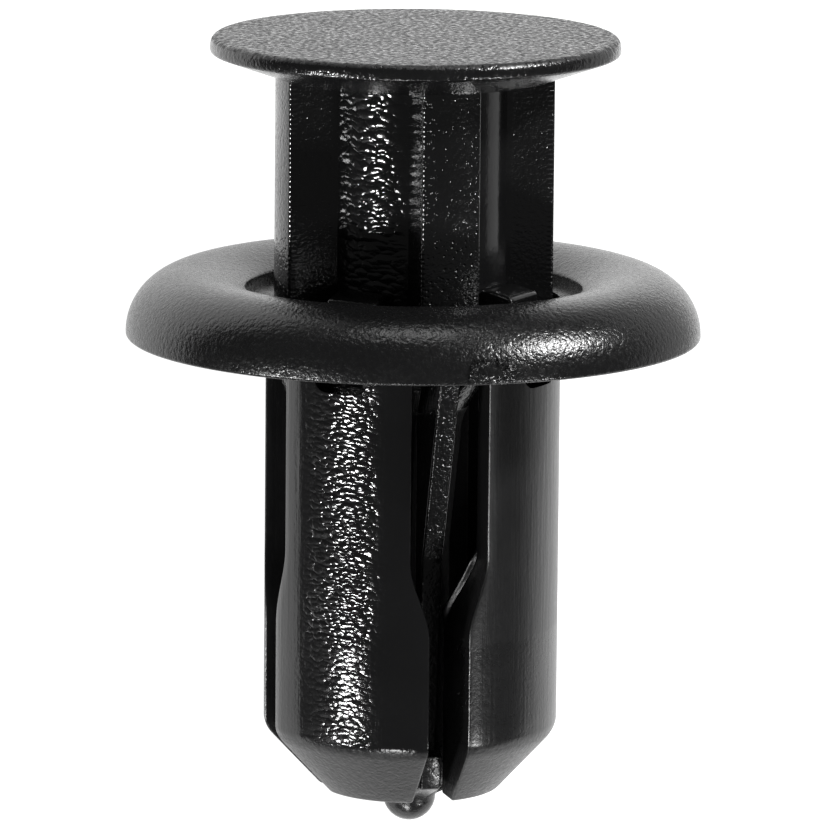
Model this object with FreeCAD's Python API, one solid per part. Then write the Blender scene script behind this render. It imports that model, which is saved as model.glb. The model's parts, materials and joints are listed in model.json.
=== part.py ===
import FreeCAD, Part

import math
import os

os.makedirs("parts", exist_ok=True)

# Plastic push rivet for a 10 mm panel hole: a split grommet and the plunger pin that spreads its legs.
# Both mouldings are modelled upright, in millimetres. The axis is Z, with the head up and the flange's
# underside at zero. The slots between the legs open along X and Y, and the legs stand on the diagonals.
# At the end the rivet is laid down as it rests on a table, on its flange rim and on two leg corners.

# Grommet: the flange, a thick bead round a shallow dish
flange_radius = 9.75
rim_chamfer = 0.12
bead_crest_radius = 7.6
bead_crest_height = 2.24
recess_radius = 5.7
dish_rim_height = 1.66
recess_floor_height = 1.25

# Grommet: four legs that fill the panel hole and meet in a blunt cone
leg_radius = 5.0
leg_bore = 3.6
cone_top = -13.45
cone_end_radius = 3.02
leg_end = -15.6
cone_corner_round = 0.3

# Grommet: the ramp inside the legs that the plunger wedges against
ramp_top = -6.95
ramp_foot = -9.5
tip_bore = 1.8

# Grommet: slots, wide for the plunger's arms and narrow towards the tip
slot_width = 2.68
narrow_slot_width = 1.36
slot_neck_top = -6.9
slot_neck_foot = -9.6

# Grommet: guide tabs round the bore, and the window under each one
tab_width = 1.85
tab_outer = 4.3
tab_top = 1.95
tab_drop = 0.2
window_width = 2.1
window_top = -0.12
window_foot = -1.27
window_corner = 0.5

# Plunger: head
head_radius = 6.94
head_top = 10.22
rim_foot = 9.7
rim_shoulder = 9.93
rim_foot_chamfer = 0.07
rim_top_chamfer = 0.19
head_collar_height = 8.92

# Plunger: four wide arms on a round core
arm_radius = 4.74
arm_width = 2.02
arm_end = 0.2
core_radius = 3.12
arm_edge_round = 0.1

# Plunger: the wedge under the core, and the cross of thin fins below it
wedge_top = -0.3
wedge_foot = -2.75
wedge_foot_radius = 1.7
stem_radius = 1.3
stem_top = -7.0
fin_thickness = 0.73
fin_shoulder = -0.8
fin_waist_radius = 2.68
fin_waist = -7.3
fin_neck_radius = 2.1
barb_ledge = -14.0
barb_radius = 2.92
barb_foot_radius = 2.7
barb_foot = -15.2
nub_radius = 0.9
nub_end = -16.84

# Gate left on the flange rim where the moulding was broken from its runner
gate_azimuth = 0.0
gate_width = 1.62
gate_height = 0.8
gate_foot = 0.05
gate_stand_out = 0.13
gate_root = 0.2
gate_break_slope = 5.0

# Clearance between the plunger's core and the guide tabs
running_clearance = 0.08

reach = 30.0
origin = FreeCAD.Vector(0, 0, 0)
axis_x = FreeCAD.Vector(1, 0, 0)
axis_z = FreeCAD.Vector(0, 0, 1)


def at(radius, height):
    """A point of a profile drawn in the XZ plane."""
    return FreeCAD.Vector(radius, 0, height)


def line(start, end):
    return Part.LineSegment(start, end).toShape()


def arc(start, middle, end):
    return Part.Arc(start, middle, end).toShape()


def outline(points):
    """Straight edges through the points, left open."""
    return [line(start, end) for start, end in zip(points, points[1:])]


def turned(edges):
    """The solid that a closed profile sweeps round the axis."""
    return Part.Face(Part.Wire(edges)).revolve(origin, axis_z, 360)


def plate(points, thickness):
    """A flat plate in the XZ plane, centred on it."""
    face = Part.Face(Part.makePolygon(points + points[:1]))
    solid = face.extrude(FreeCAD.Vector(0, thickness, 0))
    solid.translate(FreeCAD.Vector(0, -thickness / 2, 0))
    return solid


def about_axis(shape, angle):
    copy = shape.copy()
    copy.rotate(origin, axis_z, angle)
    return copy


def corner_arc(corner, before, after, radius):
    """The arc that rounds a corner, from the side of one neighbour to the side of the other."""
    back = (before - corner).normalize()
    ahead = (after - corner).normalize()
    half_angle = back.getAngle(ahead) / 2
    start = corner + back * (radius / math.tan(half_angle))
    end = corner + ahead * (radius / math.tan(half_angle))
    inward = (back + ahead).normalize()
    middle = corner + inward * (radius / math.sin(half_angle) - radius)
    return start, middle, end


def crown_arc(centre_radius, top, end_radius, fall):
    """The arc that leaves a level top and has fallen by this much at another radius."""
    width = end_radius - centre_radius
    sphere = (width ** 2 + fall ** 2) / (2 * fall)
    half_fall = sphere - math.sqrt(sphere ** 2 - (width / 2) ** 2)
    return arc(at(centre_radius, top), at(centre_radius + width / 2, top - half_fall),
               at(end_radius, top - fall))


def flange():
    """Flat underside, a rounded outer bead, and the dish that falls inwards from its crest."""
    rim = at(flange_radius, rim_chamfer)
    crest = at(bead_crest_radius, bead_crest_height)
    bead_centre = at(bead_crest_radius, rim_chamfer)
    shoulder = Part.ArcOfEllipse(Part.Ellipse(rim, crest, bead_centre), 0, math.pi / 2)
    edges = outline([at(leg_bore, 0), at(flange_radius - rim_chamfer, 0), rim])
    edges.append(shoulder.toShape())
    edges.append(crown_arc(bead_crest_radius, bead_crest_height, recess_radius,
                           bead_crest_height - dish_rim_height))
    edges += outline([at(recess_radius, dish_rim_height), at(recess_radius, recess_floor_height),
                      at(leg_bore, recess_floor_height), at(leg_bore, 0)])
    return turned(edges)


def leg_tube():
    """The tube that the slots divide into legs, with its ramp inside and its blunt cone."""
    corner = at(leg_radius, cone_top)
    cone_end = at(cone_end_radius, leg_end)
    round_start, round_middle, round_end = corner_arc(
        corner, at(leg_radius, 0), cone_end, cone_corner_round)
    edges = [line(at(leg_radius, 0), round_start), arc(round_start, round_middle, round_end)]
    edges += outline([round_end, cone_end, at(tip_bore, leg_end), at(tip_bore, ramp_foot),
                      at(leg_bore, ramp_top), at(leg_bore, 0), at(leg_radius, 0)])
    return turned(edges)


def leg_slot():
    """One slot right across the legs: wide above, drawn in by an S-shaped neck, narrow below."""
    wide = slot_width / 2
    narrow = narrow_slot_width / 2
    bottom = leg_end - 1
    ease = (slot_neck_top - slot_neck_foot) / 3
    curve = Part.BezierCurve()
    curve.setPoles([at(wide, slot_neck_top), at(wide, slot_neck_top - ease),
                    at(narrow, slot_neck_foot + ease), at(narrow, slot_neck_foot)])
    right = [line(at(wide, 0), at(wide, slot_neck_top)), curve.toShape()]
    right.append(line(at(narrow, slot_neck_foot), at(narrow, bottom)))
    left = [edge.mirror(origin, axis_x) for edge in reversed(right)]
    edges = right + [line(at(narrow, bottom), at(-narrow, bottom))] + left
    edges.append(line(at(-wide, 0), at(wide, 0)))
    face = Part.Face(Part.Wire(Part.__sortEdges__(edges)))
    slot = face.extrude(FreeCAD.Vector(0, 2 * reach, 0))
    slot.translate(FreeCAD.Vector(0, -reach, 0))
    return slot


def arm_slot():
    """The slot through the recess floor for two opposite arms, ending in line with the legs."""
    block = Part.makeBox(2 * reach, slot_width, bead_crest_height,
                         FreeCAD.Vector(-reach, -slot_width / 2, 0))
    return block.common(Part.makeCylinder(leg_radius, bead_crest_height))


def guide_tab():
    """A tab on the bore's edge that steadies the plunger's core. It lies on the +X side."""
    tab = plate([at(core_radius - 1, 0), at(tab_outer, 0), at(tab_outer, tab_top - tab_drop),
                 at(leg_bore, tab_top), at(core_radius - 1, tab_top)], tab_width)
    return tab.cut(Part.makeCylinder(core_radius + running_clearance, bead_crest_height))


def window():
    """The window under a guide tab, square above and rounded below, on the +X side."""
    block = Part.makeBox(leg_radius, window_width, window_top - window_foot,
                         FreeCAD.Vector(tip_bore, -window_width / 2, window_foot))
    lower = [edge for edge in block.Edges
             if abs(edge.CenterOfMass.z - window_foot) < 0.01
             and abs(abs(edge.CenterOfMass.y) - window_width / 2) < 0.01]
    return block.makeFillet(window_corner, lower)


def broken_gate():
    """The stub of the runner, snapped off askew, on the -Y side of the rim."""
    half = gate_width / 2
    top = gate_foot + gate_height
    corners = [at(-half, gate_foot), at(half * 0.9, gate_foot), at(half, gate_foot + gate_height * 0.6),
               at(half * 0.55, top), at(-half * 0.3, top), at(-half * 0.8, top - gate_height * 0.4)]
    stub = Part.Face(Part.makePolygon(corners + corners[:1])).extrude(
        FreeCAD.Vector(0, -gate_root - 2 * gate_stand_out, 0))
    snapped_off = Part.makeBox(4 * half, 4 * half, 4 * half, FreeCAD.Vector(
        -2 * half, -4 * half - gate_root - gate_stand_out, -half))
    snapped_off.rotate(at(0, gate_foot), axis_z, gate_break_slope)
    stub = stub.cut(snapped_off)
    stub.translate(FreeCAD.Vector(0, gate_root - flange_radius, 0))
    return about_axis(stub, gate_azimuth)


def grommet_body():
    body = flange().fuse(leg_tube())
    for angle in (0, 90):
        body = body.cut(about_axis(leg_slot(), angle))
        body = body.cut(about_axis(arm_slot(), angle))
    for angle in (45, 135, 225, 315):
        body = body.cut(about_axis(window(), angle))
        body = body.fuse(about_axis(guide_tab(), angle))
    return body.fuse(broken_gate()).removeSplitter()


def head():
    """A flat top, a thin rim, and a conical underside down to the flat collar."""
    edges = outline([at(0, head_collar_height), at(arm_radius, head_collar_height),
                     at(head_radius - rim_foot_chamfer, rim_foot - rim_foot_chamfer),
                     at(head_radius, rim_foot), at(head_radius, rim_shoulder),
                     at(head_radius - rim_top_chamfer, head_top), at(0, head_top),
                     at(0, head_collar_height)])
    return turned(edges)


def core():
    """The round core, the wedge that spreads the legs, and the slender stem down to the nub."""
    nub_centre = nub_end + nub_radius
    slope = math.sqrt(0.5)
    edges = outline([at(0, head_collar_height), at(core_radius, head_collar_height),
                     at(core_radius, wedge_top), at(wedge_foot_radius, wedge_foot),
                     at(stem_radius, stem_top), at(stem_radius, barb_foot), at(nub_radius, nub_centre)])
    edges.append(arc(at(nub_radius, nub_centre),
                     at(nub_radius * slope, nub_centre - nub_radius * slope), at(0, nub_end)))
    edges.append(line(at(0, nub_end), at(0, head_collar_height)))
    return turned(edges)


def arm_pair():
    """Two opposite arms with faces round the axis and softened edges."""
    height = head_collar_height - arm_end
    block = Part.makeBox(2 * reach, arm_width, height,
                         FreeCAD.Vector(-reach, -arm_width / 2, arm_end))
    pair = block.common(Part.makeCylinder(arm_radius, height, FreeCAD.Vector(0, 0, arm_end)))
    upright = [edge for edge in pair.Edges if edge.Length > height - 0.01]
    return pair.makeFillet(arm_edge_round, upright)


def fin_pair():
    """Two opposite thin fins: an arrow-shaped taper, a long waist, and the barb above the nub."""
    side = [at(arm_radius, arm_end), at(arm_radius, fin_shoulder), at(fin_waist_radius, fin_waist),
            at(fin_neck_radius, barb_ledge), at(barb_radius, barb_ledge),
            at(barb_foot_radius, barb_foot), at(nub_radius, nub_end + nub_radius)]
    other_side = [at(-point.x, point.z) for point in reversed(side)]
    return plate(side + other_side, fin_thickness)


def plunger_pin():
    pin = head().fuse(core())
    for angle in (0, 90):
        pin = pin.fuse(about_axis(arm_pair(), angle))
        pin = pin.fuse(about_axis(fin_pair(), angle))
    return pin.removeSplitter()


def resting_tilt():
    """Slope of the axis when the rim and two leg corners beside a slot touch the table."""
    cone_angle = math.atan2(leg_radius - cone_end_radius, cone_top - leg_end)
    round_top = cone_top + cone_corner_round * math.tan(cone_angle / 2)
    tilt = 0.0
    for _ in range(20):
        radius = leg_radius - cone_corner_round * (1 - math.cos(tilt))
        height = round_top - cone_corner_round * math.sin(tilt)
        corner_reach = math.sqrt(radius ** 2 - (narrow_slot_width / 2) ** 2)
        tilt = math.atan2(flange_radius - corner_reach, rim_chamfer - height)
    return tilt


def laid_down(shapes):
    """The shapes turned onto the table, with the middle of the box that holds them over the origin."""
    turn = math.degrees(resting_tilt()) - 90
    for shape in shapes:
        shape.rotate(origin, axis_x, turn)
    box = Part.makeCompound(shapes).optimalBoundingBox()
    shift = FreeCAD.Vector(-box.Center.x, -box.Center.y, -box.ZMin)
    for shape in shapes:
        shape.translate(shift)
    return turn, shift


nodes = {"grommet_body": grommet_body(), "plunger_pin": plunger_pin()}
turn, shift = laid_down(list(nodes.values()))
for name, shape in nodes.items():
    print(name, "valid", shape.isValid(), "solids", len(shape.Solids), "volume", round(shape.Volume, 1))
    shape.exportStep(os.path.join("parts", name + ".step"))
print("turn about X", round(turn, 4), "shift", [round(value, 4) for value in shift])
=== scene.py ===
"""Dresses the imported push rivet: fine meshes and finishes, a camera and lights."""
import json
import logging
import math
from collections.abc import Callable, Iterable, Sequence
from dataclasses import dataclass
from enum import Enum

import bmesh
import bpy
from mathutils import Matrix, Quaternion, Vector, noise

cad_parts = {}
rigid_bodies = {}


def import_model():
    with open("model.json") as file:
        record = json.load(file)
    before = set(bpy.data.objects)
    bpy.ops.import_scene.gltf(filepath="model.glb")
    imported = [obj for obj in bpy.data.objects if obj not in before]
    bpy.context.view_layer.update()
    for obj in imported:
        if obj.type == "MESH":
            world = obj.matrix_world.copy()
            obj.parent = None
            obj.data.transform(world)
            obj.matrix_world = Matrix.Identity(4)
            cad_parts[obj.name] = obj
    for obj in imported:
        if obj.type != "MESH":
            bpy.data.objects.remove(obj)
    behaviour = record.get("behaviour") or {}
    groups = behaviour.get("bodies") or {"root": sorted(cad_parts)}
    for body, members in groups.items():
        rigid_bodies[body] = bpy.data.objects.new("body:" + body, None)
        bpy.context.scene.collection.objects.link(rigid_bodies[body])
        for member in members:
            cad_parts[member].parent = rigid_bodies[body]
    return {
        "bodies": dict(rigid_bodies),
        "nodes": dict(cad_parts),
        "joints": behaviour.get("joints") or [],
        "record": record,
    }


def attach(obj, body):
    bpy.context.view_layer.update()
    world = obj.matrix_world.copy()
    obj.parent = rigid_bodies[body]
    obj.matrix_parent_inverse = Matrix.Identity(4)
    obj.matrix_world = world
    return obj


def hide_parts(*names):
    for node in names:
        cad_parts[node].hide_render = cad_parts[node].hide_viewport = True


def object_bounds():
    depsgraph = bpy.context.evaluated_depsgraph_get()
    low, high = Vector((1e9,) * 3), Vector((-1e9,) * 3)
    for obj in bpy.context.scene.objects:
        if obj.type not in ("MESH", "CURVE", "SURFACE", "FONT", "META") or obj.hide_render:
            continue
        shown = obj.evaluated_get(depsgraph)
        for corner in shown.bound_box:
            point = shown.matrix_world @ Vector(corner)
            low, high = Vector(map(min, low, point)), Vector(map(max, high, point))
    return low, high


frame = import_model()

CAD_BOX = [list(corner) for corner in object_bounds()]
MM = 0.001
MICROMETRE = 1e-6

# Distances in millimetres at which points of a mesh count as the same place.
SLICE_SNAP = 1e-5
SEAM_MERGE = 1e-4
JOIN_MERGE = 2e-4
RING_SLACK = 1e-3

# Edges sharper than this many degrees stay crisp.
CREASE = 32.0
NORMAL_WEIGHT = 60

log = logging.getLogger("rivet")

Profile = list[tuple[float, float]]
Triple = tuple[float, float, float]
Solid = bmesh.types.BMesh


class Along(Enum):
    """The three directions of a block, as unit vectors."""

    X = (1.0, 0.0, 0.0)
    Y = (0.0, 1.0, 0.0)
    Z = (0.0, 0.0, 1.0)


class Join(Enum):
    """What a solid does to another one."""

    ADD = "UNION"
    CUT = "DIFFERENCE"


@dataclass(frozen=True)
class RivetFrame:
    """The rivet's own upright frame in millimetres, placed where the pack has laid it down.

    Its Z runs up the axis to the head, X and Y run through the slots, and zero is the
    flange's underside.
    """

    matrix: Matrix

    @classmethod
    def from_pack(cls, packed: dict) -> "RivetFrame":
        """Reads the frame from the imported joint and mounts.


        Returns:
            The frame, with the turn, the place and the change from millimetres to metres.
        """
        mounts = {mount["name"]: Vector(mount["pos_m"]) for mount in packed["record"]["mounts"]}
        up = -Vector(packed["joints"][0]["axis"]).normalized()
        diagonal = (mounts["panel_seat"] - mounts["shank"]).normalized()
        across = Quaternion(up, math.radians(45.0)) @ diagonal
        turn = Matrix((across, up.cross(across), up)).transposed().to_4x4()
        return cls(Matrix.Translation(mounts["shank"]) @ turn @ Matrix.Scale(MM, 4))

    def direction(self, azimuth: float, elevation: float) -> Vector:
        """World direction of a bearing round the rivet's axis.

        Args:
            azimuth: Degrees, zero on the -Y side and growing towards +X.
            elevation: Degrees above the flange's plane.

        Returns:
            A unit vector in the row frame.
        """
        turn, lift = math.radians(azimuth), math.radians(elevation)
        reach = math.cos(lift)
        local = Vector((math.sin(turn) * reach, -math.cos(turn) * reach, math.sin(lift)))
        return (self.matrix.to_3x3() @ local).normalized()

    def point(self, x: float, y: float, z: float) -> Vector:
        """World place, in metres, of a point of the upright rivet."""
        return self.matrix @ Vector((x, y, z))


def smooth_step(value: float) -> float:
    """An S-shaped rise from 0 to 1, level at both ends."""
    clamped = min(1.0, max(0.0, value))
    return clamped * clamped * (3.0 - 2.0 * clamped)


def soft_lower(first: float, second: float, reach: float) -> float:
    """The lower of two numbers, with the corner between them rounded off."""
    share = min(1.0, max(0.0, 0.5 + 0.5 * (second - first) / reach))
    return second + (first - second) * share - reach * share * (1.0 - share)


def steps_between(start: float, end: float, pitch: float) -> list[float]:
    """Evenly spaced places strictly between two ends, about a pitch apart."""
    count = max(1, round(abs(end - start) / pitch))
    return [start + (end - start) * step / count for step in range(1, count)]


def block(low: Sequence[float], high: Sequence[float]) -> Solid:
    """A box from its lowest to its highest corner.

    Args:
        low: The corner with the smallest coordinates.
        high: The opposite corner.

    Returns:
        The closed box.
    """
    low_corner, high_corner = Vector(low), Vector(high)
    middle = Matrix.Translation((low_corner + high_corner) / 2)
    size = Matrix.Diagonal(high_corner - low_corner).to_4x4()
    solid = bmesh.new()
    bmesh.ops.create_cube(solid, size=1.0, matrix=middle @ size)
    return solid


def soften(solid: Solid, width: float, segments: int = 3,
           picks: Callable[[Vector, Vector], bool] | None = None) -> None:
    """Rounds edges over.

    Args:
        solid: The mesh, changed in place.
        width: How far the round reaches from each edge, in millimetres.
        segments: Faces across the round.
        picks: Says from an edge's two ends whether it is rounded. Without it, all edges are.
    """
    edges = [edge for edge in solid.edges
             if picks is None or picks(edge.verts[0].co, edge.verts[1].co)]
    bmesh.ops.bevel(solid, geom=edges, offset=width, offset_type="OFFSET", segments=segments,
                    profile=0.5, affect="EDGES", material=-1, clamp_overlap=True)


def slice_across(solid: Solid, along: Along, places: Iterable[float]) -> None:
    """Adds a row of edges across the solid at each place along a direction.

    Args:
        solid: The mesh, changed in place.
        along: The direction that the cuts stand across.
        places: Where the cuts lie on it, in millimetres.
    """
    normal = Vector(along.value)
    for place in places:
        everything = solid.verts[:] + solid.edges[:] + solid.faces[:]
        bmesh.ops.bisect_plane(solid, geom=everything, dist=SLICE_SNAP,
                               plane_co=normal * place, plane_no=normal)


def spun(profile: Profile, steps: int) -> Solid:
    """Turns a closed outline once round the axis.

    Args:
        profile: Radius and height of each corner in turn. The last joins the first, except
            on the axis.
        steps: Faces round the axis.

    Returns:
        A closed solid with its faces outwards.
    """
    solid = bmesh.new()
    corners = [solid.verts.new((radius, 0.0, height)) for radius, height in profile]
    pairs = list(zip(corners, corners[1:]))
    if profile[0][0] > 0.0 or profile[-1][0] > 0.0:
        pairs.append((corners[-1], corners[0]))
    edges = [solid.edges.new(pair) for pair in pairs]
    bmesh.ops.spin(solid, geom=corners + edges, cent=(0, 0, 0), axis=(0, 0, 1),
                   angle=math.tau, steps=steps, use_merge=True)
    bmesh.ops.remove_doubles(solid, verts=solid.verts[:], dist=SEAM_MERGE)
    bmesh.ops.recalc_face_normals(solid, faces=solid.faces[:])
    return solid


def ring_at(radius: float, height: float) -> Callable[[Vector, Vector], bool]:
    """Picks the edges of one ring of a spun solid.

    Args:
        radius: The ring's radius.
        height: The ring's height.

    Returns:
        A test of an edge's two ends.
    """
    def on_ring(start: Vector, end: Vector) -> bool:
        """Whether both ends lie on the ring."""
        return all(abs(math.hypot(point.x, point.y) - radius) < RING_SLACK
                   and abs(point.z - height) < RING_SLACK for point in (start, end))
    return on_ring


def turned(solid: Solid, degrees: float) -> Solid:
    """The same solid turned about the axis."""
    bmesh.ops.rotate(solid, verts=solid.verts[:], cent=(0, 0, 0),
                     matrix=Matrix.Rotation(math.radians(degrees), 3, "Z"))
    return solid


def linked(name: str, data: bpy.types.ID) -> bpy.types.Object:
    """A new object of the data, in the scene.

    Args:
        name: The object's name.
        data: Its mesh, light or camera.

    Returns:
        The object.
    """
    made = bpy.data.objects.new(name, data)
    bpy.context.scene.collection.objects.link(made)
    return made


def as_object(name: str, solid: Solid) -> bpy.types.Object:
    """Makes a linked object of a mesh under construction and frees it.

    Args:
        name: The name of the object and of its mesh.
        solid: The mesh. It is used up.

    Returns:
        The object.
    """
    mesh = bpy.data.meshes.new(name)
    solid.to_mesh(mesh)
    solid.free()
    return linked(name, mesh)


class Moulding:
    """One moulded piece while it is being put together, in upright millimetres."""

    def __init__(self, name: str, first: Solid) -> None:
        """Starts the piece from its first solid.

        Args:
            name: The piece's name in the scene.
            first: The solid to start from. It is used up.
        """
        self.body = self._as_object(name, first)

    @staticmethod
    def _as_object(name: str, solid: Solid) -> bpy.types.Object:
        """Makes a linked object of a solid, with its faces outwards."""
        bmesh.ops.recalc_face_normals(solid, faces=solid.faces[:])
        return as_object(name, solid)

    def work(self, join: Join, solid: Solid) -> None:
        """Adds or cuts a solid, and keeps the exact result.

        Args:
            join: Whether the solid is added or cut away.
            solid: The other solid. It is used up.
        """
        tool = self._as_object("tool", solid)
        modifier = self.body.modifiers.new("work", "BOOLEAN")
        modifier.operation = join.value
        modifier.solver = "EXACT"
        modifier.object = tool
        bpy.context.view_layer.update()
        graph = bpy.context.evaluated_depsgraph_get()
        worked = bpy.data.meshes.new_from_object(self.body.evaluated_get(graph))
        self.body.modifiers.clear()
        spent = self.body.data
        self.body.data = worked
        bpy.data.meshes.remove(spent)
        tool_mesh = tool.data
        bpy.data.objects.remove(tool)
        bpy.data.meshes.remove(tool_mesh)

    def placed(self, rivet: RivetFrame) -> bpy.types.Object:
        """Cleans the mesh, lays it down in the row frame and shades it smooth.

        Args:
            rivet: Where the rivet lies.

        Returns:
            The finished object, at the origin.
        """
        solid = bmesh.new()
        solid.from_mesh(self.body.data)
        bmesh.ops.remove_doubles(solid, verts=solid.verts[:], dist=JOIN_MERGE)
        bmesh.ops.dissolve_degenerate(solid, edges=solid.edges[:], dist=SEAM_MERGE)
        bmesh.ops.transform(solid, matrix=rivet.matrix, verts=solid.verts[:])
        bmesh.ops.recalc_face_normals(solid, faces=solid.faces[:])
        solid.to_mesh(self.body.data)
        solid.free()
        self.body.data.shade_smooth()
        self.body.data.set_sharp_from_angle(angle=math.radians(CREASE))
        weighted = self.body.modifiers.new("even_normals", "WEIGHTED_NORMAL")
        weighted.keep_sharp = True
        weighted.weight = NORMAL_WEIGHT
        return self.body


class Wire:
    """A number that flows between nodes. Arithmetic on it adds Math nodes."""

    def __init__(self, board: "Board", socket: bpy.types.NodeSocket) -> None:
        """Wraps an output socket of a node on the board."""
        self.board = board
        self.socket = socket

    def _math(self, operation: str, *values: "Wire | float") -> "Wire":
        """A Math node on the given values."""
        return self.board.node("ShaderNodeMath", {"operation": operation},
                               dict(enumerate(values)))

    def __add__(self, other: "Wire | float") -> "Wire":
        """Sum."""
        return self._math("ADD", self, other)

    __radd__ = __add__

    def __mul__(self, other: "Wire | float") -> "Wire":
        """Product."""
        return self._math("MULTIPLY", self, other)

    __rmul__ = __mul__

    def __sub__(self, other: "Wire | float") -> "Wire":
        """Difference."""
        return self._math("SUBTRACT", self, other)

    def __rsub__(self, other: float) -> "Wire":
        """Difference from a plain number."""
        return self._math("SUBTRACT", other, self)

    def size(self) -> "Wire":
        """The number without its sign."""
        return self._math("ABSOLUTE", self)

    def sine(self) -> "Wire":
        """Sine of the number in radians."""
        return self._math("SINE", self)

    def lower_of(self, other: "Wire") -> "Wire":
        """The lower of two numbers."""
        return self._math("MINIMUM", self, other)

    def above(self, edge: float, feather: float) -> "Wire":
        """A mask that rises smoothly from 0 to 1 across an edge.

        Args:
            edge: The value where the mask is one half.
            feather: The width of the rise.

        Returns:
            The mask.
        """
        rise = {"Value": self, "From Min": edge - feather / 2, "From Max": edge + feather / 2}
        return self.board.node("ShaderNodeMapRange", {"interpolation_type": "SMOOTHSTEP"}, rise)

    def below(self, edge: float, feather: float) -> "Wire":
        """A mask that falls smoothly from 1 to 0 across an edge."""
        return 1.0 - self.above(edge, feather)


class Board:
    """The node tree of one material."""

    def __init__(self, name: str) -> None:
        """Makes a material with an empty tree.

        Args:
            name: The material's name.
        """
        self.material = bpy.data.materials.new(name)
        self.material.use_nodes = True
        self.tree = self.material.node_tree
        self.tree.nodes.clear()

    def node(self, kind: str, settings: dict | None = None, inputs: dict | None = None,
             output: int | str = 0) -> Wire:
        """Adds a node.

        Args:
            kind: The node's type.
            settings: Properties set before the sockets.
            inputs: Values or wires by socket name or number.
            output: The output that is handed back.

        Returns:
            The chosen output.
        """
        made = self.tree.nodes.new(kind)
        for name, value in (settings or {}).items():
            setattr(made, name, value)
        for name, value in (inputs or {}).items():
            if isinstance(value, Wire):
                self.tree.links.new(value.socket, made.inputs[name])
            else:
                made.inputs[name].default_value = value
        return Wire(self, made.outputs[output])

    def coordinate(self, vector: Wire, axis: str) -> Wire:
        """One coordinate of a vector: X, Y or Z."""
        return self.node("ShaderNodeSeparateXYZ", inputs={0: vector}, output=axis)

    def scaled(self, colour: Triple, factor: Wire) -> Wire:
        """A fixed colour made lighter or darker by a factor."""
        return self.node("ShaderNodeVectorMath", {"operation": "SCALE"},
                         {0: colour, "Scale": factor}, output="Vector")

    def plastic(self, sockets: dict) -> bpy.types.Material:
        """Closes the tree with a Principled surface.

        Args:
            sockets: Values or wires of the surface's sockets.

        Returns:
            The finished material.
        """
        surface = self.node("ShaderNodeBsdfPrincipled", inputs=sockets, output="BSDF")
        end = self.tree.nodes.new("ShaderNodeOutputMaterial")
        self.tree.links.new(surface.socket, end.inputs["Surface"])
        return self.material


class Spot:
    """The place of each shaded point in the upright rivet, in millimetres, and patterns on it."""

    def __init__(self, board: Board, rivet: RivetFrame) -> None:
        """Works the place out from the object's coordinates.

        Args:
            board: The node tree that the wires belong to.
            rivet: Where the rivet lies, so that the patterns follow its own axes.
        """
        back = rivet.matrix.inverted()
        self.board = board
        self.place = board.node("ShaderNodeMapping", {"vector_type": "POINT"}, {
            "Vector": board.node("ShaderNodeTexCoord", output="Object"),
            "Location": back.translation,
            "Rotation": back.to_3x3().normalized().to_euler("XYZ"),
            "Scale": (1.0 / MM,) * 3})
        self.across = board.coordinate(self.place, "X")
        self.deep = board.coordinate(self.place, "Y")
        self.height = board.coordinate(self.place, "Z")
        self.radius = board.node("ShaderNodeVectorMath", {"operation": "LENGTH"},
                                 {0: self.stretched((1.0, 1.0, 0.0))}, output="Value")

    def stretched(self, scale: Triple) -> Wire:
        """The place drawn out or pressed together along the axes."""
        return self.board.node("ShaderNodeVectorMath", {"operation": "MULTIPLY"},
                               {0: self.place, 1: scale})

    def lumps(self, size: float, detail: float, roughness: float = 0.5,
              place: Wire | None = None) -> Wire:
        """A noise whose lumps are about this size."""
        return self.board.node("ShaderNodeTexNoise", {"noise_dimensions": "3D"}, {
            "Vector": self.place if place is None else place, "Scale": 1.0 / (2.0 * size),
            "Detail": detail, "Roughness": roughness})

    def cells(self, scale: float, place: Wire | None = None) -> Wire:
        """The distance to the nearest of many scattered points."""
        return self.board.node("ShaderNodeTexVoronoi", {"feature": "F1"}, {
            "Vector": self.place if place is None else place, "Scale": scale},
            output="Distance")

    def lots(self, scale: float, channel: str) -> Wire:
        """A number from 0 to 1 drawn for each of the scattered points."""
        drawn = self.board.node("ShaderNodeTexVoronoi", {"feature": "F1"},
                                {"Vector": self.place, "Scale": scale}, output="Color")
        return self.board.node("ShaderNodeSeparateColor", inputs={0: drawn}, output=channel)


@dataclass(frozen=True)
class Skin:
    """How the mould has left the plastic over one zone of a piece. Depths are in micrometres.

    The grain is sandy and fine, the hammer marks are small domes side by side, the swell is a
    slow unevenness, and the drag lines run along the axis. The pits are small, and thickest
    low down. The teeth are a fine notching of the arms' outer arrises. The mottle is how far
    the gloss varies with the grain. The tone scales the plastic's colour: on the head's top it
    is painted light, on the guide tabs painted shade, and on the tip and the gate scar it makes
    the plastic a little lighter.
    """

    roughness: float
    grain_depth: float
    swell_depth: float
    mottle: float
    hammer_depth: float = 0.0
    drag_depth: float = 0.0
    pit_depth: float = 0.0
    teeth_depth: float = 0.0
    tone: float = 1.0


@dataclass(frozen=True)
class Zone:
    """A stretch of the axis, or of the radius, that has its own skin."""

    skin: Skin
    low: float
    high: float
    feather: float = 0.1
    outside_radius: float | None = None
    inside_radius: float | None = None

    def mask(self, spot: Spot) -> Wire:
        """Where the zone is: 1 inside it, 0 outside.

        Args:
            spot: The shaded point.

        Returns:
            The mask.
        """
        mask = (spot.height.above(self.low, self.feather)
                * spot.height.below(self.high, self.feather))
        if self.outside_radius is not None:
            mask = mask * spot.radius.above(self.outside_radius, self.feather)
        if self.inside_radius is not None:
            mask = mask * spot.radius.below(self.inside_radius, self.feather)
        return mask


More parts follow.
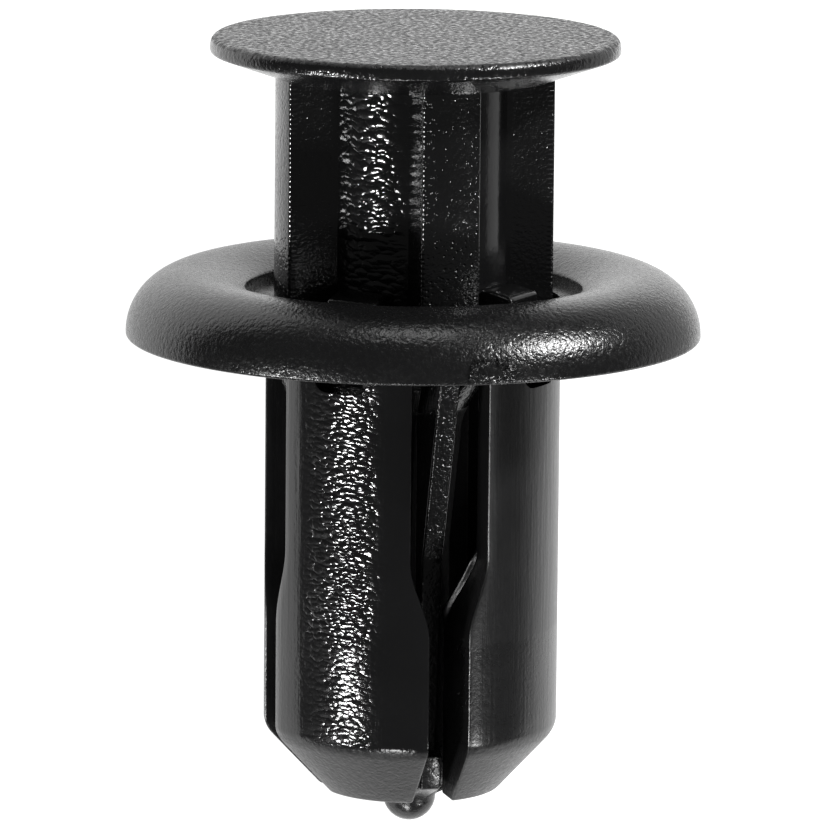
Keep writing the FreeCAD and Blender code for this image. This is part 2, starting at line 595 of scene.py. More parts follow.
@dataclass(frozen=True)
class MouldedNylon:
    """Black nylon as it comes from the mould, with sandy grain, hammer marks and drag lines.

    Sizes and places are in millimetres. The hammer marks lie on the diagonals, where the mould
    was cut last, and are a little flattened along the axis. The faces of the arms are those
    outside face_radius and below face_top, and their arrises lie arris_offset off the middle.
    """

    name: str
    ground: Skin
    zones: tuple[Zone, ...]
    colour: Triple = (0.005, 0.005, 0.0052)
    refraction: float = 1.5
    grain_size: float = 0.085
    swell_size: float = 0.5
    patch_size: float = 1.3
    hammer_size: float = 0.31
    hammer_spread: float = 0.965
    hammer_fade: float = 0.22
    hammer_flattening: float = 1.9
    hammer_sway: float = 1.1
    drag_size: float = 0.09
    drag_stretch: float = 0.06
    drag_dulling: float = 0.016
    pit_pitch: float = 0.17
    pit_low: float = 4.0
    pit_fade: float = 9.0
    face_radius: float = 4.5
    face_top: float = 8.85
    arris_offset: float = 0.9
    tooth_pitch: float = 0.165
    tooth_wander: float = 5.0
    speck_scale: float = 0.75
    speck_share: float = 0.05
    speck_radius: float = 0.035
    speck_colour: tuple[float, float, float, float] = (0.75, 0.75, 0.73, 1.0)

    def _pits(self, spot: Spot) -> Wire:
        """Small round pits, 1 at their deepest, that thin out towards the head.

        Args:
            spot: The shaded point.

        Returns:
            The depth of the pits, from 0 to 1.
        """
        scale = 1.0 / self.pit_pitch
        crowd = spot.lumps(0.7, 2.0)
        chance = crowd * 0.95 + spot.height.below(self.pit_low, self.pit_fade) * 0.35 + 0.16
        dimple = spot.cells(scale).below(0.2, 0.4)
        return dimple * (spot.lots(scale, "Green") + chance).above(1.0, 0.02)

    def _domes(self, spot: Spot) -> Wire:
        """The hammer marks: 0 in the middle of each and growing outwards.

        Args:
            spot: The shaded point.

        Returns:
            The distance to the nearest mark's middle.
        """
        sway = spot.board.node("ShaderNodeTexNoise", {"noise_dimensions": "3D"}, {
            "Vector": spot.place, "Scale": 0.8 / self.hammer_size, "Detail": 1.0},
            output="Color")
        swayed = spot.board.node("ShaderNodeVectorMath", {"operation": "MULTIPLY_ADD"}, {
            0: sway, 1: (self.hammer_size * self.hammer_sway,) * 3,
            2: spot.stretched((1.0, 1.0, self.hammer_flattening))})
        return spot.cells(1.0 / self.hammer_size, swayed)

    def _blended(self, masks: Sequence[Wire], quality: str) -> Wire | float:
        """One quality of the skin, mixed over the zones.

        Args:
            masks: Where each zone is.
            quality: The name of one of the skin's fields.

        Returns:
            The mixed value, a plain number if it is the same all over.
        """
        ground = getattr(self.ground, quality)
        value: Wire | float = ground
        for zone, mask in zip(self.zones, masks):
            change = getattr(zone.skin, quality) - ground
            if change:
                value = mask * change + value
        return value

    def _relief(self, spot: Spot, masks: Sequence[Wire], grain: Wire, patches: Wire) -> Wire:
        """How far the surface stands out at each point.

        Args:
            spot: The shaded point.
            masks: Where each zone is.
            grain: The sandy grain, from 0 to 1.
            patches: The slow change that makes the marks stronger in one place than another.

        Returns:
            The height in micrometres.
        """
        swell = spot.lumps(self.swell_size, 2.0)
        drag = spot.lumps(self.drag_size, 3.0, 0.6, spot.stretched((1.0, 1.0, self.drag_stretch)))
        off_diagonal = (spot.across + spot.deep).size() * math.sqrt(0.5)
        hammered = (off_diagonal - spot.radius * self.hammer_spread).above(0.0, self.hammer_fade)
        domes = self._domes(spot)
        face = (spot.radius.above(self.face_radius, 0.1)
                * spot.height.below(self.face_top, 0.1))
        arris = (spot.across.size().lower_of(spot.deep.size()).above(self.arris_offset, 0.03)
                 * face)
        notches = spot.height * (math.tau / self.tooth_pitch) + swell * self.tooth_wander
        teeth = notches.sine() * arris
        sanded = 1.0 - arris * 0.85 if self.ground.teeth_depth else 1.0
        return (self._blended(masks, "grain_depth") * (grain - 0.5) * (patches * 0.8 + 0.6)
                * sanded
                - self._blended(masks, "hammer_depth") * hammered * domes * domes
                * (patches * 2.4 - 0.2)
                + self._blended(masks, "swell_depth") * swell
                + self._blended(masks, "drag_depth") * (1.0 - hammered * 0.8) * drag
                - self._blended(masks, "pit_depth") * (face * 0.8 + 0.2) * self._pits(spot)
                + self._blended(masks, "teeth_depth") * teeth)

    def material(self, rivet: RivetFrame) -> bpy.types.Material:
        """Builds the material.

        Args:
            rivet: Where the rivet lies, so that the pattern follows its own axes.

        Returns:
            The finished material.
        """
        board = Board(self.name)
        spot = Spot(board, rivet)
        masks = [zone.mask(spot) for zone in self.zones]
        grain = spot.lumps(self.grain_size, 2.0, 0.6)
        patches = spot.lumps(self.patch_size, 3.0, 0.55)
        relief = self._relief(spot, masks, grain, patches)
        bump = board.node("ShaderNodeBump", inputs={
            "Strength": 1.0, "Distance": MICROMETRE, "Height": relief}, output="Normal")

        specks = (spot.cells(self.speck_scale).below(self.speck_radius, 0.02)
                  * spot.lots(self.speck_scale, "Red").above(1.0 - self.speck_share, 0.01))
        # The tone varies at random with the patches. The zones' tones add painted light on the
        # head's top and painted shade on the guide tabs.
        shade = (patches * 0.5 + 0.75) * self._blended(masks, "tone")
        colour = board.node("ShaderNodeMix", {"data_type": "RGBA", "blend_type": "MIX"}, {
            "Factor": specks, 6: board.scaled(self.colour, shade), 7: self.speck_colour},
            output=2)

        drawn_side = (spot.across * spot.deep).below(-0.6, 1.2)
        gloss = (self._blended(masks, "roughness") + (patches - 0.5) * 0.1 + specks * 0.4
                 + self._blended(masks, "mottle") * (grain - 0.5)
                 + self._blended(masks, "drag_depth") * drawn_side * self.drag_dulling)
        return board.plastic({"Base Color": colour, "Roughness": gloss, "IOR": self.refraction,
                              "Normal": bump})


# The head's top gets tone 2.0: painted light, a lighter top standing in for the light it catches.
# Its grain and gloss are the mould's.
HEAD_SKIN_AND_PAINTED_LIGHT = Skin(roughness=0.43, grain_depth=44.0, swell_depth=8.0, mottle=1.8, tone=2.0)
RIM_SKIN = Skin(roughness=0.18, grain_depth=32.0, swell_depth=6.0, mottle=0.3)
FLANGE_SKIN = Skin(roughness=0.25, grain_depth=28.0, swell_depth=3.0, mottle=0.35)
# The guide tabs get tone 0.6: painted shade, darker where they sit in the recess between the
# plunger's arms.
TAB_SKIN_AND_PAINTED_SHADE = Skin(roughness=0.2, grain_depth=8.0, swell_depth=2.0, mottle=0.1, tone=0.6)
LEG_SKIN = Skin(roughness=0.13, grain_depth=5.0, swell_depth=6.0, mottle=0.1,
                hammer_depth=42.0, drag_depth=12.0)
FOOT_SKIN = Skin(roughness=0.13, grain_depth=9.0, swell_depth=6.0, mottle=0.1,
                 hammer_depth=20.0, drag_depth=10.0)
CONE_SKIN = Skin(roughness=0.36, grain_depth=24.0, swell_depth=4.0, mottle=0.4)
ARM_SKIN = Skin(roughness=0.15, grain_depth=24.0, swell_depth=2.0, mottle=0.2,
                drag_depth=1.0, pit_depth=26.0, teeth_depth=3.4)
CORE_SKIN = Skin(roughness=0.13, grain_depth=6.0, swell_depth=6.0, mottle=0.1,
                 hammer_depth=50.0, drag_depth=2.0)
STEM_SKIN = Skin(roughness=0.95, grain_depth=30.0, swell_depth=4.0, mottle=0.1)
TIP_SKIN = Skin(roughness=0.28, grain_depth=20.0, swell_depth=20.0, mottle=0.3,
                hammer_depth=12.0, tone=1.6)
SCAR_SKIN = Skin(roughness=0.22, grain_depth=12.0, swell_depth=0.0, mottle=0.4, tone=1.6)

GROMMET_NYLON = MouldedNylon(
    name="grommet_nylon", ground=FLANGE_SKIN, grain_size=0.07,
    zones=(Zone(LEG_SKIN, low=-9.8, high=-0.1, feather=0.2),
           Zone(FOOT_SKIN, low=-13.4, high=-9.8, feather=0.2),
           Zone(CONE_SKIN, low=-30.0, high=-13.4, feather=0.2),
           Zone(TAB_SKIN_AND_PAINTED_SHADE, low=1.32, high=3.0, inside_radius=4.5),
           Zone(SCAR_SKIN, low=0.0, high=1.0, outside_radius=9.77)))
PLUNGER_NYLON = MouldedNylon(
    name="plunger_nylon", ground=ARM_SKIN, hammer_size=0.42, hammer_spread=0.92,
    zones=(Zone(HEAD_SKIN_AND_PAINTED_LIGHT, low=10.1, high=30.0),
           Zone(RIM_SKIN, low=9.0, high=10.1),
           Zone(CORE_SKIN, low=-1.0, high=9.0, inside_radius=3.3),
           Zone(STEM_SKIN, low=-13.9, high=-1.0, inside_radius=1.9),
           Zone(TIP_SKIN, low=-30.0, high=-13.9, feather=0.2)))


@dataclass
class Grommet:
    """The split grommet: a beaded flange with a dish, guide tabs, slotted legs and a gate scar.

    A leg starts as a straight block of block_half and wall, is sliced into rows and columns,
    and is then wrapped round the axis, so that its edges keep their rounds.
    """

    flange_radius: float = 9.75
    flange_steps: int = 240
    rim_round: float = 0.12
    bead_steps: int = 22
    crest_radius: float = 7.6
    crest_height: float = 2.24
    dish_steps: int = 12
    recess_radius: float = 5.7
    recess_edge: float = 0.07
    dish_rim_height: float = 1.66
    recess_floor: float = 1.25
    bore: float = 3.6
    bore_edge: float = 0.1
    overlap: float = 0.02
    leg_radius: float = 5.0
    cone_top: float = -13.45
    cone_round: float = 0.3
    cone_end_radius: float = 3.02
    leg_end: float = -15.6
    ramp_top: float = -6.95
    ramp_foot: float = -9.5
    ramp_round: float = 0.35
    tip_bore: float = 1.8
    tip_round: float = 0.2
    slot_half: float = 1.34
    narrow_half: float = 0.68
    neck_top: float = -6.9
    neck_foot: float = -9.6
    leg_edge: float = 0.09
    lip: float = 0.2
    lip_width: float = 0.1
    lip_depth: float = 0.2
    tab_width: float = 1.85
    tab_outer: float = 4.3
    tab_inner: float = 3.2
    tab_top: float = 1.95
    tab_drop: float = 0.2
    tab_edge: float = 0.1
    window_width: float = 2.1
    window_top: float = -0.12
    window_foot: float = -1.27
    window_corner: float = 0.5
    gate_azimuth: float = 0.0
    gate_width: float = 1.66
    gate_low: float = 0.03
    gate_high: float = 0.88
    gate_stand_out: float = 0.12
    gate_edge: float = 0.3
    gate_pitch: float = 0.035
    gate_hollow: float = 0.34
    gate_ragged: float = 0.13
    block_half: float = 3.0
    wall: float = 1.4
    sunk: float = 0.3
    finish: MouldedNylon = GROMMET_NYLON

    def _flange(self) -> Solid:
        """The flange with its bead, dish and recess.

        Returns:
            The closed solid.
        """
        inside = self.bore - self.overlap
        bead_width = self.flange_radius - self.crest_radius
        bead_rise = self.crest_height - self.rim_round
        profile: Profile = [(inside, 0.0), (self.flange_radius, 0.0)]
        for step in range(self.bead_steps + 1):
            turn = math.pi / 2 * step / self.bead_steps
            profile.append((self.crest_radius + bead_width * math.cos(turn),
                            self.rim_round + bead_rise * math.sin(turn)))
        width = self.crest_radius - self.recess_radius
        fall = self.crest_height - self.dish_rim_height
        sphere = (width ** 2 + fall ** 2) / (2 * fall)
        for step in range(1, self.dish_steps + 1):
            inwards = width * step / self.dish_steps
            drop = sphere - math.sqrt(sphere ** 2 - inwards ** 2)
            profile.append((self.crest_radius - inwards, self.crest_height - drop))
        profile += [(self.recess_radius, self.recess_floor), (inside, self.recess_floor)]
        solid = spun(profile, self.flange_steps)
        soften(solid, self.rim_round * 0.8, 4, ring_at(self.flange_radius, 0.0))
        soften(solid, self.recess_edge, 3, ring_at(self.recess_radius, self.dish_rim_height))
        soften(solid, self.bore_edge, 3, ring_at(inside, self.recess_floor))
        return solid

    def _slot_half_at(self, height: float) -> float:
        """Half the slot's width at a height, through its S-shaped neck."""
        share = smooth_step((self.neck_top - height) / (self.neck_top - self.neck_foot))
        return self.slot_half + (self.narrow_half - self.slot_half) * share

    def _lip_at(self, height: float, depth: float) -> float:
        """How far the wall stands into the slot along the ramp's inner edge.

        Args:
            height: The height on the axis.
            depth: How deep in the wall the place lies.

        Returns:
            The lip's reach in millimetres.
        """
        middle = (self.ramp_top + self.ramp_foot) / 2
        half = (self.ramp_top - self.ramp_foot) / 2 + 0.3
        along = smooth_step((half - abs(height - middle)) / 0.7)
        inwards = smooth_step((depth - self.wall + self.lip_depth) / self.lip_width + 0.5)
        return self.lip * along * inwards

    def _outer_at(self, height: float) -> float:
        """The leg's outer radius at a height, with the cone's corner rounded.

        Args:
            height: The height on the axis.

        Returns:
            The radius.
        """
        slope = (self.leg_radius - self.cone_end_radius) / (self.cone_top - self.leg_end)
        cone = self.leg_radius - (self.cone_top - height) * slope
        return soft_lower(self.leg_radius, cone, self.cone_round)

    def _inner_at(self, height: float) -> float:
        """The leg's inner radius at a height, down its ramp.

        Args:
            height: The height on the axis.

        Returns:
            The radius.
        """
        slope = (self.bore - self.tip_bore) / (self.ramp_top - self.ramp_foot)
        straight = self.bore - (self.ramp_top - height) * slope
        ramp = soft_lower(self.bore, straight, self.ramp_round)
        return -soft_lower(-ramp, -self.tip_bore, self.tip_round)

    def _wrapped(self, point: Vector) -> Vector:
        """Moves a point of a straight block onto the leg of the first quadrant.

        The distance to the nearer edge is kept close to it, so that the edge rounds keep
        their size.

        Args:
            point: The point of the straight block.

        Returns:
            Its place on the leg.
        """
        depth = -point.y
        outer, inner = self._outer_at(point.z), self._inner_at(point.z)
        radius = outer - depth - (outer - inner - self.wall) * smooth_step(depth / self.wall)
        slot = self._slot_half_at(point.z) - self._lip_at(point.z, depth)
        wall_angle = math.asin(slot / radius)
        half_arc = radius * (math.pi / 4 - wall_angle)
        from_edge = self.block_half - abs(point.x)
        widening = (half_arc - self.block_half) * smooth_step(from_edge / self.block_half)
        angle = wall_angle + (from_edge + widening) / radius
        if point.x > 0:
            angle = math.pi / 2 - angle
        return Vector((radius * math.cos(angle), radius * math.sin(angle), point.z))

    def _leg_rows(self) -> list[float]:
        """The heights where a leg is sliced, closest at the cone's corner and on the ramp.

        Returns:
            The heights, in millimetres.
        """
        inset = self.leg_edge * 1.5
        cone_reach = 0.35
        neck_low, neck_high = self.neck_foot - 0.3, self.neck_top + 0.3
        return (steps_between(self.leg_end + inset, self.cone_top, 0.3)
                + steps_between(self.cone_top - cone_reach, self.cone_top + cone_reach, 0.08)
                + steps_between(self.cone_top, neck_low, 0.9)
                + steps_between(neck_low, neck_high, 0.16)
                + steps_between(self.neck_top, 0.0, 0.9))

    def _leg(self, quarter: int) -> Solid:
        """One leg: a softened block, sliced into rows and wrapped round the axis.

        Args:
            quarter: Which of the four quarters it stands in.

        Returns:
            The closed solid.
        """
        solid = block((-self.block_half, -self.wall, self.leg_end),
                      (self.block_half, 0.0, self.sunk))
        soften(solid, self.leg_edge, 3,
               lambda start, end: min(start.z, end.z) < self.sunk - 0.1)
        inset = self.leg_edge * 1.5
        side = self.block_half - inset
        lip_start = self.lip_depth * 1.6 - self.wall
        lip_end = self.lip_depth * 1.8 - self.wall
        slice_across(solid, Along.Z, self._leg_rows())
        slice_across(solid, Along.X, steps_between(inset - self.block_half, side, 0.33))
        slice_across(solid, Along.Y, steps_between(lip_start, -inset, 0.14))
        slice_across(solid, Along.Y, steps_between(inset - self.wall, lip_end, 0.02))
        for vertex in solid.verts:
            vertex.co = self._wrapped(vertex.co)
        return turned(solid, 90.0 * quarter)

    def _arm_slot(self, angle: float) -> Solid:
        """The cutter for two opposite arms through the recess floor, round at its ends.

        Args:
            angle: How far it is turned about the axis, in degrees.

        Returns:
            The closed solid.
        """
        half = self.slot_half - 0.005
        radius = self.leg_radius
        solid = block((-radius, -half, -0.05), (radius, half, self.crest_height + 1))
        slice_across(solid, Along.Y, steps_between(-half, half, 0.2))
        for vertex in solid.verts:
            reach = math.sqrt(radius ** 2 - vertex.co.y ** 2)
            vertex.co.x = math.copysign(reach, vertex.co.x)
        return turned(solid, angle)

    def _tab(self, angle: float) -> Solid:
        """A guide tab, hollow on the plunger's side and sloping down outwards.

        Args:
            angle: How far it is turned about the axis, in degrees.

        Returns:
            The closed solid.
        """
        half = self.tab_width / 2
        halfway = self.tab_top / 2
        solid = block((self.tab_inner, -half, self.overlap), (self.tab_outer, half, self.tab_top))
        soften(solid, self.tab_edge, 3, lambda start, end: (
            min(start.z, end.z) > halfway or abs(start.z - end.z) > halfway))
        side = half - self.tab_edge
        slice_across(solid, Along.Y, steps_between(-side, side, 0.16))
        slice_across(solid, Along.X, [self.bore])
        for vertex in solid.verts:
            inward = (self.tab_outer - vertex.co.x) / (self.tab_outer - self.tab_inner)
            if vertex.co.z > halfway and vertex.co.x > self.bore:
                outward = self.tab_drop * (vertex.co.x - self.bore)
                vertex.co.z -= outward / (self.tab_outer - self.bore)
            hollow = self.tab_inner - math.sqrt(self.tab_inner ** 2 - vertex.co.y ** 2)
            vertex.co.x -= hollow * inward
        return turned(solid, angle)

    def _window(self, angle: float) -> Solid:
        """The cutter for the window under a guide tab, rounded below.

        Args:
            angle: How far it is turned about the axis, in degrees.

        Returns:
            The closed solid.
        """
        half = self.window_width / 2
        solid = block((self.tip_bore, -half, self.window_foot),
                      (self.leg_radius + 1, half, self.window_top))
        soften(solid, self.window_corner, 6, lambda start, end: (
            abs(start.x - end.x) > self.wall and start.z < self.window_foot + RING_SLACK))
        return turned(solid, angle)

    def _gate_scar(self) -> Solid:
        """The torn stub of the gate on the rim: a ragged ridge round a dull hollow.

        Returns:
            The closed solid.
        """
        outer = self.flange_radius + self.gate_stand_out
        half = self.gate_width / 2
        middle = (self.gate_low + self.gate_high) / 2
        solid = block((-half, -outer, self.gate_low),
                      (half, -self.flange_radius + 0.9, self.gate_high))
        soften(solid, self.gate_edge, 6)
        slice_across(solid, Along.X, steps_between(-half, half, self.gate_pitch))
        slice_across(solid, Along.Z,
                     steps_between(self.gate_low, self.gate_high, self.gate_pitch))
        for vertex in solid.verts:
            from_rim = -vertex.co.y - self.flange_radius + 0.5
            outward = smooth_step(from_rim / (self.gate_stand_out + 0.5))
            across = vertex.co.x / half
            upward = (vertex.co.z - middle) / (self.gate_high - middle)
            ragged = noise.fractal(vertex.co * 4.2 + Vector((7.3, 1.9, 4.1)), 0.7, 2.1, 5)
            hollow = math.exp(-((across - 0.05) ** 2 * 2.6 + (upward - 0.1) ** 2 * 2.2))
            vertex.co.y += outward * (self.gate_hollow * hollow + self.gate_ragged * ragged)
            sideways = noise.noise(vertex.co * 2.3 + Vector((0.4, 5.2, 2.2)))
            lift = noise.noise(vertex.co * 2.3 + Vector((8.1, 3.7, 6.4)))
            vertex.co.x += outward * (0.2 * sideways - 0.16 * across * upward)
            vertex.co.z += outward * 0.15 * lift
            vertex.co.y = max(vertex.co.y, -outer - 0.02)
        return turned(solid, self.gate_azimuth)

    def build(self, rivet: RivetFrame) -> bpy.types.Object:
        """Puts the moulding together, dresses it and hands it to its body.

        Args:
            rivet: Where the rivet lies.

        Returns:
            The finished piece.
        """
        moulding = Moulding("grommet", self._flange())
        for angle in (0.0, 90.0):
            moulding.work(Join.CUT, self._arm_slot(angle))
        for quarter in range(4):
            moulding.work(Join.ADD, self._leg(quarter))
            moulding.work(Join.ADD, self._tab(45.0 + 90.0 * quarter))
        for quarter in range(4):
            moulding.work(Join.CUT, self._window(45.0 + 90.0 * quarter))
        moulding.work(Join.ADD, self._gate_scar())
        piece = moulding.placed(rivet)
        piece.data.materials.append(self.finish.material(rivet))
        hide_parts("grommet_body")
        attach(piece, "grommet")
        return piece


@dataclass
class Plunger:
    """The plunger pin: a thin head, a core with four arms, a wedge, crossed fins and a nub."""

    head_radius: float = 6.94
    head_steps: int = 200
    head_top: float = 10.22
    rim_foot: float = 9.7
    rim_shoulder: float = 9.9
    rim_round: float = 0.24
    rim_steps: int = 8
    rim_edge: float = 0.08
    collar_height: float = 8.92
    arm_radius: float = 4.74
    arm_root: float = 1.0
    arm_width: float = 2.02
    arm_end: float = 0.2
    arm_edge: float = 0.1
    core_radius: float = 3.12
    core_steps: int = 120
    wedge_top: float = -0.3
    wedge_edge: float = 0.15
    wedge_foot: float = -2.75
    wedge_foot_radius: float = 1.7
    wedge_foot_round: float = 0.3
    stem_radius: float = 1.3
    stem_top: float = -7.0
    fin_thickness: float = 0.73
    fin_edge: float = 0.09
    fin_shoulder: float = -0.8
    waist_radius: float = 2.68
    waist: float = -7.3
    neck_radius: float = 2.1
    barb_ledge: float = -14.0
    barb_radius: float = 2.92
    barb_foot_radius: float = 2.7
    barb_foot: float = -15.2
    nub_radius: float = 0.9
    nub_end: float = -16.84
    nub_steps: int = 8
    finish: MouldedNylon = PLUNGER_NYLON

    def _head(self) -> Solid:
        """The head, with its rim rounded over into the top.

        Returns:
            The closed solid.
        """
        profile: Profile = [(0.0, self.collar_height), (self.arm_radius, self.collar_height),
                            (self.head_radius, self.rim_foot)]
        rise = self.head_top - self.rim_shoulder
        for step in range(self.rim_steps + 1):
            turn = math.pi / 2 * step / self.rim_steps
            profile.append((self.head_radius - self.rim_round * (1 - math.cos(turn)),
                            self.rim_shoulder + rise * math.sin(turn)))
        profile += [(radius, self.head_top) for radius in (6.2, 4.8, 3.2, 1.6, 0.0)]
        solid = spun(profile, self.head_steps)
        soften(solid, self.rim_edge, 3, ring_at(self.head_radius, self.rim_foot))
        return solid

    def _core(self) -> Solid:
        """The core, the wedge, the stem and the round nub.

        Returns:
            The closed solid.
        """
        nub_centre = self.nub_end + self.nub_radius
        top = self.collar_height + 0.3
        profile: Profile = [(0.0, top), (self.core_radius, top)]
        profile += [(self.core_radius, height)
                    for height in steps_between(self.collar_height, self.wedge_top, 1.2)]
        profile += [(self.core_radius, self.wedge_top),
                    (self.wedge_foot_radius, self.wedge_foot),
                    (self.stem_radius, self.stem_top), (self.stem_radius, self.barb_foot),
                    (self.nub_radius, nub_centre)]
        for step in range(1, self.nub_steps + 1):
            turn = math.pi / 2 * step / self.nub_steps
            profile.append((self.nub_radius * math.cos(turn),
                            nub_centre - self.nub_radius * math.sin(turn)))
        profile[-1] = (0.0, self.nub_end)
        solid = spun(profile, self.core_steps)
        soften(solid, self.wedge_edge, 3, ring_at(self.core_radius, self.wedge_top))
        soften(solid, self.wedge_foot_round, 3,
               ring_at(self.wedge_foot_radius, self.wedge_foot))
        return solid

    def _arm(self, angle: float) -> Solid:
        """One arm, with its outer face bowed round the axis and its edges rounded.

        Args:
            angle: How far it is turned about the axis, in degrees.

        Returns:
            The closed solid.
        """
        half = self.arm_width / 2
        root = self.arm_root
        solid = block((root, -half, self.arm_end),
                      (self.arm_radius, half, self.collar_height + 0.15))
        soften(solid, self.arm_edge, 4,
               lambda start, end: max(start.x, end.x) > root + self.arm_edge)
        side = half - 0.15
        slice_across(solid, Along.Y, steps_between(-side, side, 0.2))
        slice_across(solid, Along.Z, steps_between(self.arm_end + 0.2, self.collar_height, 1.0))
        for vertex in solid.verts:
            bow = self.arm_radius - math.sqrt(self.arm_radius ** 2 - vertex.co.y ** 2)
            vertex.co.x -= bow * (vertex.co.x - root) / (self.arm_radius - root)
        return turned(solid, angle)

    def _fin_pair(self, angle: float) -> Solid:
        """Two opposite fins in one softened plate, from the arms down to the barbs and nub.

        Args:
            angle: How far it is turned about the axis, in degrees.

        Returns:
            The closed solid.
        """
        outer = self.arm_radius - 0.02
        side: Profile = [(self.arm_radius - 0.6, self.arm_end + 0.5),
                         (outer, self.arm_end + 0.1), (outer, self.fin_shoulder),
                         (self.waist_radius, self.waist), (self.neck_radius, self.barb_ledge),
                         (self.barb_radius, self.barb_ledge),
                         (self.barb_foot_radius, self.barb_foot),
                         (self.nub_radius * 0.9, self.nub_end + self.nub_radius)]
        outline = side + [(-radius, height) for radius, height in reversed(side)]
        half = self.fin_thickness / 2
        solid = bmesh.new()
        face = solid.faces.new([solid.verts.new((radius, -half, height))
                                for radius, height in outline])
        grown = bmesh.ops.extrude_face_region(solid, geom=[face])
        moved = [item for item in grown["geom"] if isinstance(item, bmesh.types.BMVert)]
        bmesh.ops.translate(solid, verts=moved, vec=(0.0, self.fin_thickness, 0.0))
        bmesh.ops.recalc_face_normals(solid, faces=solid.faces[:])
        soften(solid, self.fin_edge)
        return turned(solid, angle)

    def build(self, rivet: RivetFrame) -> bpy.types.Object:
        """Puts the moulding together, dresses it and hands it to its body.

        Args:
            rivet: Where the rivet lies.

        Returns:
            The finished piece.
        """
        moulding = Moulding("plunger", self._head())
        moulding.work(Join.ADD, self._core())
        for quarter in range(4):
            moulding.work(Join.ADD, self._arm(90.0 * quarter))
        for angle in (0.0, 90.0):
            moulding.work(Join.ADD, self._fin_pair(angle))
        piece = moulding.placed(rivet)
        piece.data.materials.append(self.finish.material(rivet))
        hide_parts("plunger_pin")
        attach(piece, "plunger")
        return piece


@dataclass(frozen=True)
class SoftLight:
    """A rectangular light at a bearing round the rivet's axis. Sizes are in millimetres."""

    name: str
    azimuth: float
    elevation: float
    distance: float
    width: float
    height: float
    radiance: float

    def place(self, rivet: RivetFrame, target: Vector) -> None:
        """Puts the light in the scene, facing the target, with its height along the axis.

        Args:
            rivet: Where the rivet lies.
            target: The place it faces.
        """
        data = bpy.data.lights.new(self.name, "AREA")
        data.shape = "RECTANGLE"
        data.size = self.width * MM
        data.size_y = self.height * MM
        data.energy = self.radiance * math.pi * data.size * data.size_y
        light = linked(self.name, data)
        away = rivet.direction(self.azimuth, self.elevation)
        along = rivet.matrix.to_3x3() @ Vector((0, 0, 1))
        across = along.cross(away).normalized()
        facing = Matrix((across, away.cross(across), away)).transposed().to_4x4()
        light.matrix_world = Matrix.Translation(target + away * self.distance * MM) @ facing


@dataclass(frozen=True)
class PaleFloor:
    """A pale, glowing floor, with its places in millimetres.

    It carries painted shade: it goes dark to the left, and dims at the right beyond dim_from and
    dim_behind. Both lie outside the picture, and their reflections give the black plastic its
    dark sides.
    """

    half: float = 600.0
    tone: float = 0.3
    glow: float = 0.95
    roughness: float = 0.7
    slant: float = 0.6
    dark_from: float = -26.0
    dark_share: float = 0.03
    dim_from: float = 21.5
    dim_fade: float = 3.0
    dim_behind: float = 15.0
    dimming: float = 0.65
    fade: float = 4.0

    def _material(self) -> bpy.types.Material:
        """The floor's pale plastic, with its glow.

        Returns:
            The finished material.
        """
        board = Board("pale_floor")
        place = board.node("ShaderNodeTexCoord", output="Object")
        across, along = board.coordinate(place, "X"), board.coordinate(place, "Y")
        # Painted shade: the floor goes dark to the left, and dims at the far right.
        lit = (across + along * self.slant).above(self.dark_from * MM, self.fade * MM)
        beyond = across.above(self.dim_from * MM, self.dim_fade * MM)
        behind = (across * self.slant + along).above(self.dim_behind * MM, self.fade * MM)
        share = ((lit * (1.0 - self.dark_share) + self.dark_share)
                 * (1.0 - beyond * behind * self.dimming))
        return board.plastic({"Base Color": board.scaled((self.tone,) * 3, share),
                              "Roughness": self.roughness,
                              "Emission Color": board.scaled((1.0, 1.0, 1.0), share),
                              "Emission Strength": self.glow})

    def lay(self, level: float) -> None:
        """Lays the floor under the rivet, at a height in metres.

        Args:
            level: The floor's height in the row frame.
        """
        solid = bmesh.new()
        bmesh.ops.create_grid(solid, x_segments=1, y_segments=1, size=self.half * MM,
                              matrix=Matrix.Translation((0, 0, level)))
        floor = as_object("floor", solid)
        floor.data.materials.append(self._material())


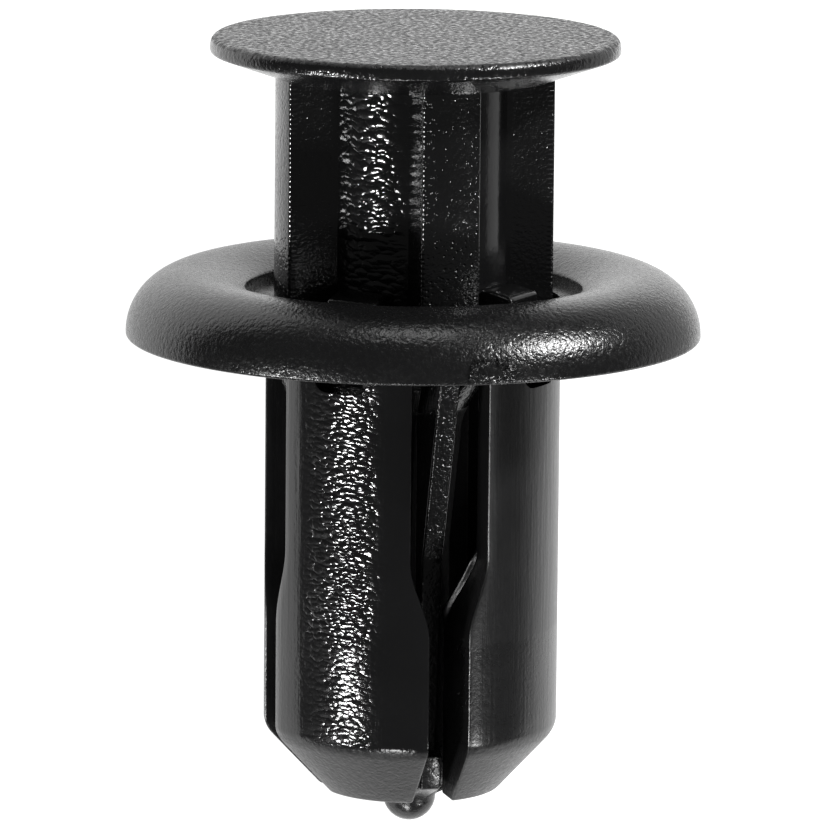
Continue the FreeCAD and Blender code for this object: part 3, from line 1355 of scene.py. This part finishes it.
@dataclass
class Studio:
    """The floor, the surroundings, the lights and the camera."""

    camera_distance: float = 304.6
    camera_azimuth: float = -15.5
    camera_elevation: float = 10.53
    camera_roll: float = -0.5
    look_height: float = -2.68
    lens: float = 391.3
    sensor_width: float = 36.0
    clip_start: float = 0.01
    clip_end: float = 10.0
    room_tone: float = 0.09
    floor: PaleFloor = PaleFloor()
    lights: tuple[SoftLight, ...] = (
        SoftLight("left_strip", -66.0, -20.0, 300.0, 60.0, 30.0, 125.0),
        SoftLight("right_back", 52.0, 38.0, 300.0, 84.0, 36.0, 118.0),
        SoftLight("right_low", 31.0, -28.0, 300.0, 34.0, 26.0, 120.0),
        SoftLight("front_below", -30.0, -52.0, 300.0, 60.0, 80.0, 18.0),
        SoftLight("over_head", -8.0, 80.0, 400.0, 150.0, 60.0, 8.0),
    )

    def _add_room(self) -> None:
        """Sets the even, dim surroundings."""
        world = bpy.data.worlds.new("room")
        world.use_nodes = True
        background = world.node_tree.nodes["Background"]
        background.inputs["Color"].default_value = (self.room_tone,) * 3 + (1.0,)
        background.inputs["Strength"].default_value = 1.0
        bpy.context.scene.world = world

    def _add_camera(self, rivet: RivetFrame, target: Vector) -> None:
        """Places the camera at the photograph's viewing angle, looking at the target.

        Args:
            rivet: Where the rivet lies.
            target: The place in the picture's middle.
        """
        back = rivet.direction(self.camera_azimuth, self.camera_elevation)
        along = (rivet.matrix.to_3x3() @ Vector((0, 0, 1))).normalized()
        right = along.cross(back).normalized()
        up = back.cross(right)
        roll = math.radians(self.camera_roll)
        tilted_right = right * math.cos(roll) - up * math.sin(roll)
        tilted_up = right * math.sin(roll) + up * math.cos(roll)
        data = bpy.data.cameras.new("camera")
        data.lens = self.lens
        data.sensor_width = self.sensor_width
        data.clip_start = self.clip_start
        data.clip_end = self.clip_end
        camera = linked("camera", data)
        turn = Matrix((tilted_right, tilted_up, back)).transposed().to_4x4()
        place = Matrix.Translation(target + back * self.camera_distance * MM)
        camera.matrix_world = place @ turn
        bpy.context.scene.camera = camera

    def build(self, rivet: RivetFrame) -> None:
        """Sets everything round the rivet.

        Args:
            rivet: Where the rivet lies.
        """
        target = rivet.point(0, 0, self.look_height)
        self.floor.lay(CAD_BOX[0][2])
        self._add_room()
        self._add_camera(rivet, target)
        for light in self.lights:
            light.place(rivet, target)
        bpy.context.scene.view_settings.view_transform = "Standard"


def main() -> None:
    """Builds the pieces and the studio, and logs each piece's vertex and face counts."""
    logging.basicConfig(level=logging.INFO, format="%(name)s: %(message)s")
    rivet = RivetFrame.from_pack(frame)
    Studio().build(rivet)
    for part in (Grommet(), Plunger()):
        piece = part.build(rivet)
        mesh = piece.data
        log.info("%s: %d vertices, %d faces", piece.name, len(mesh.vertices), len(mesh.polygons))


if __name__ == "__main__":
    main()
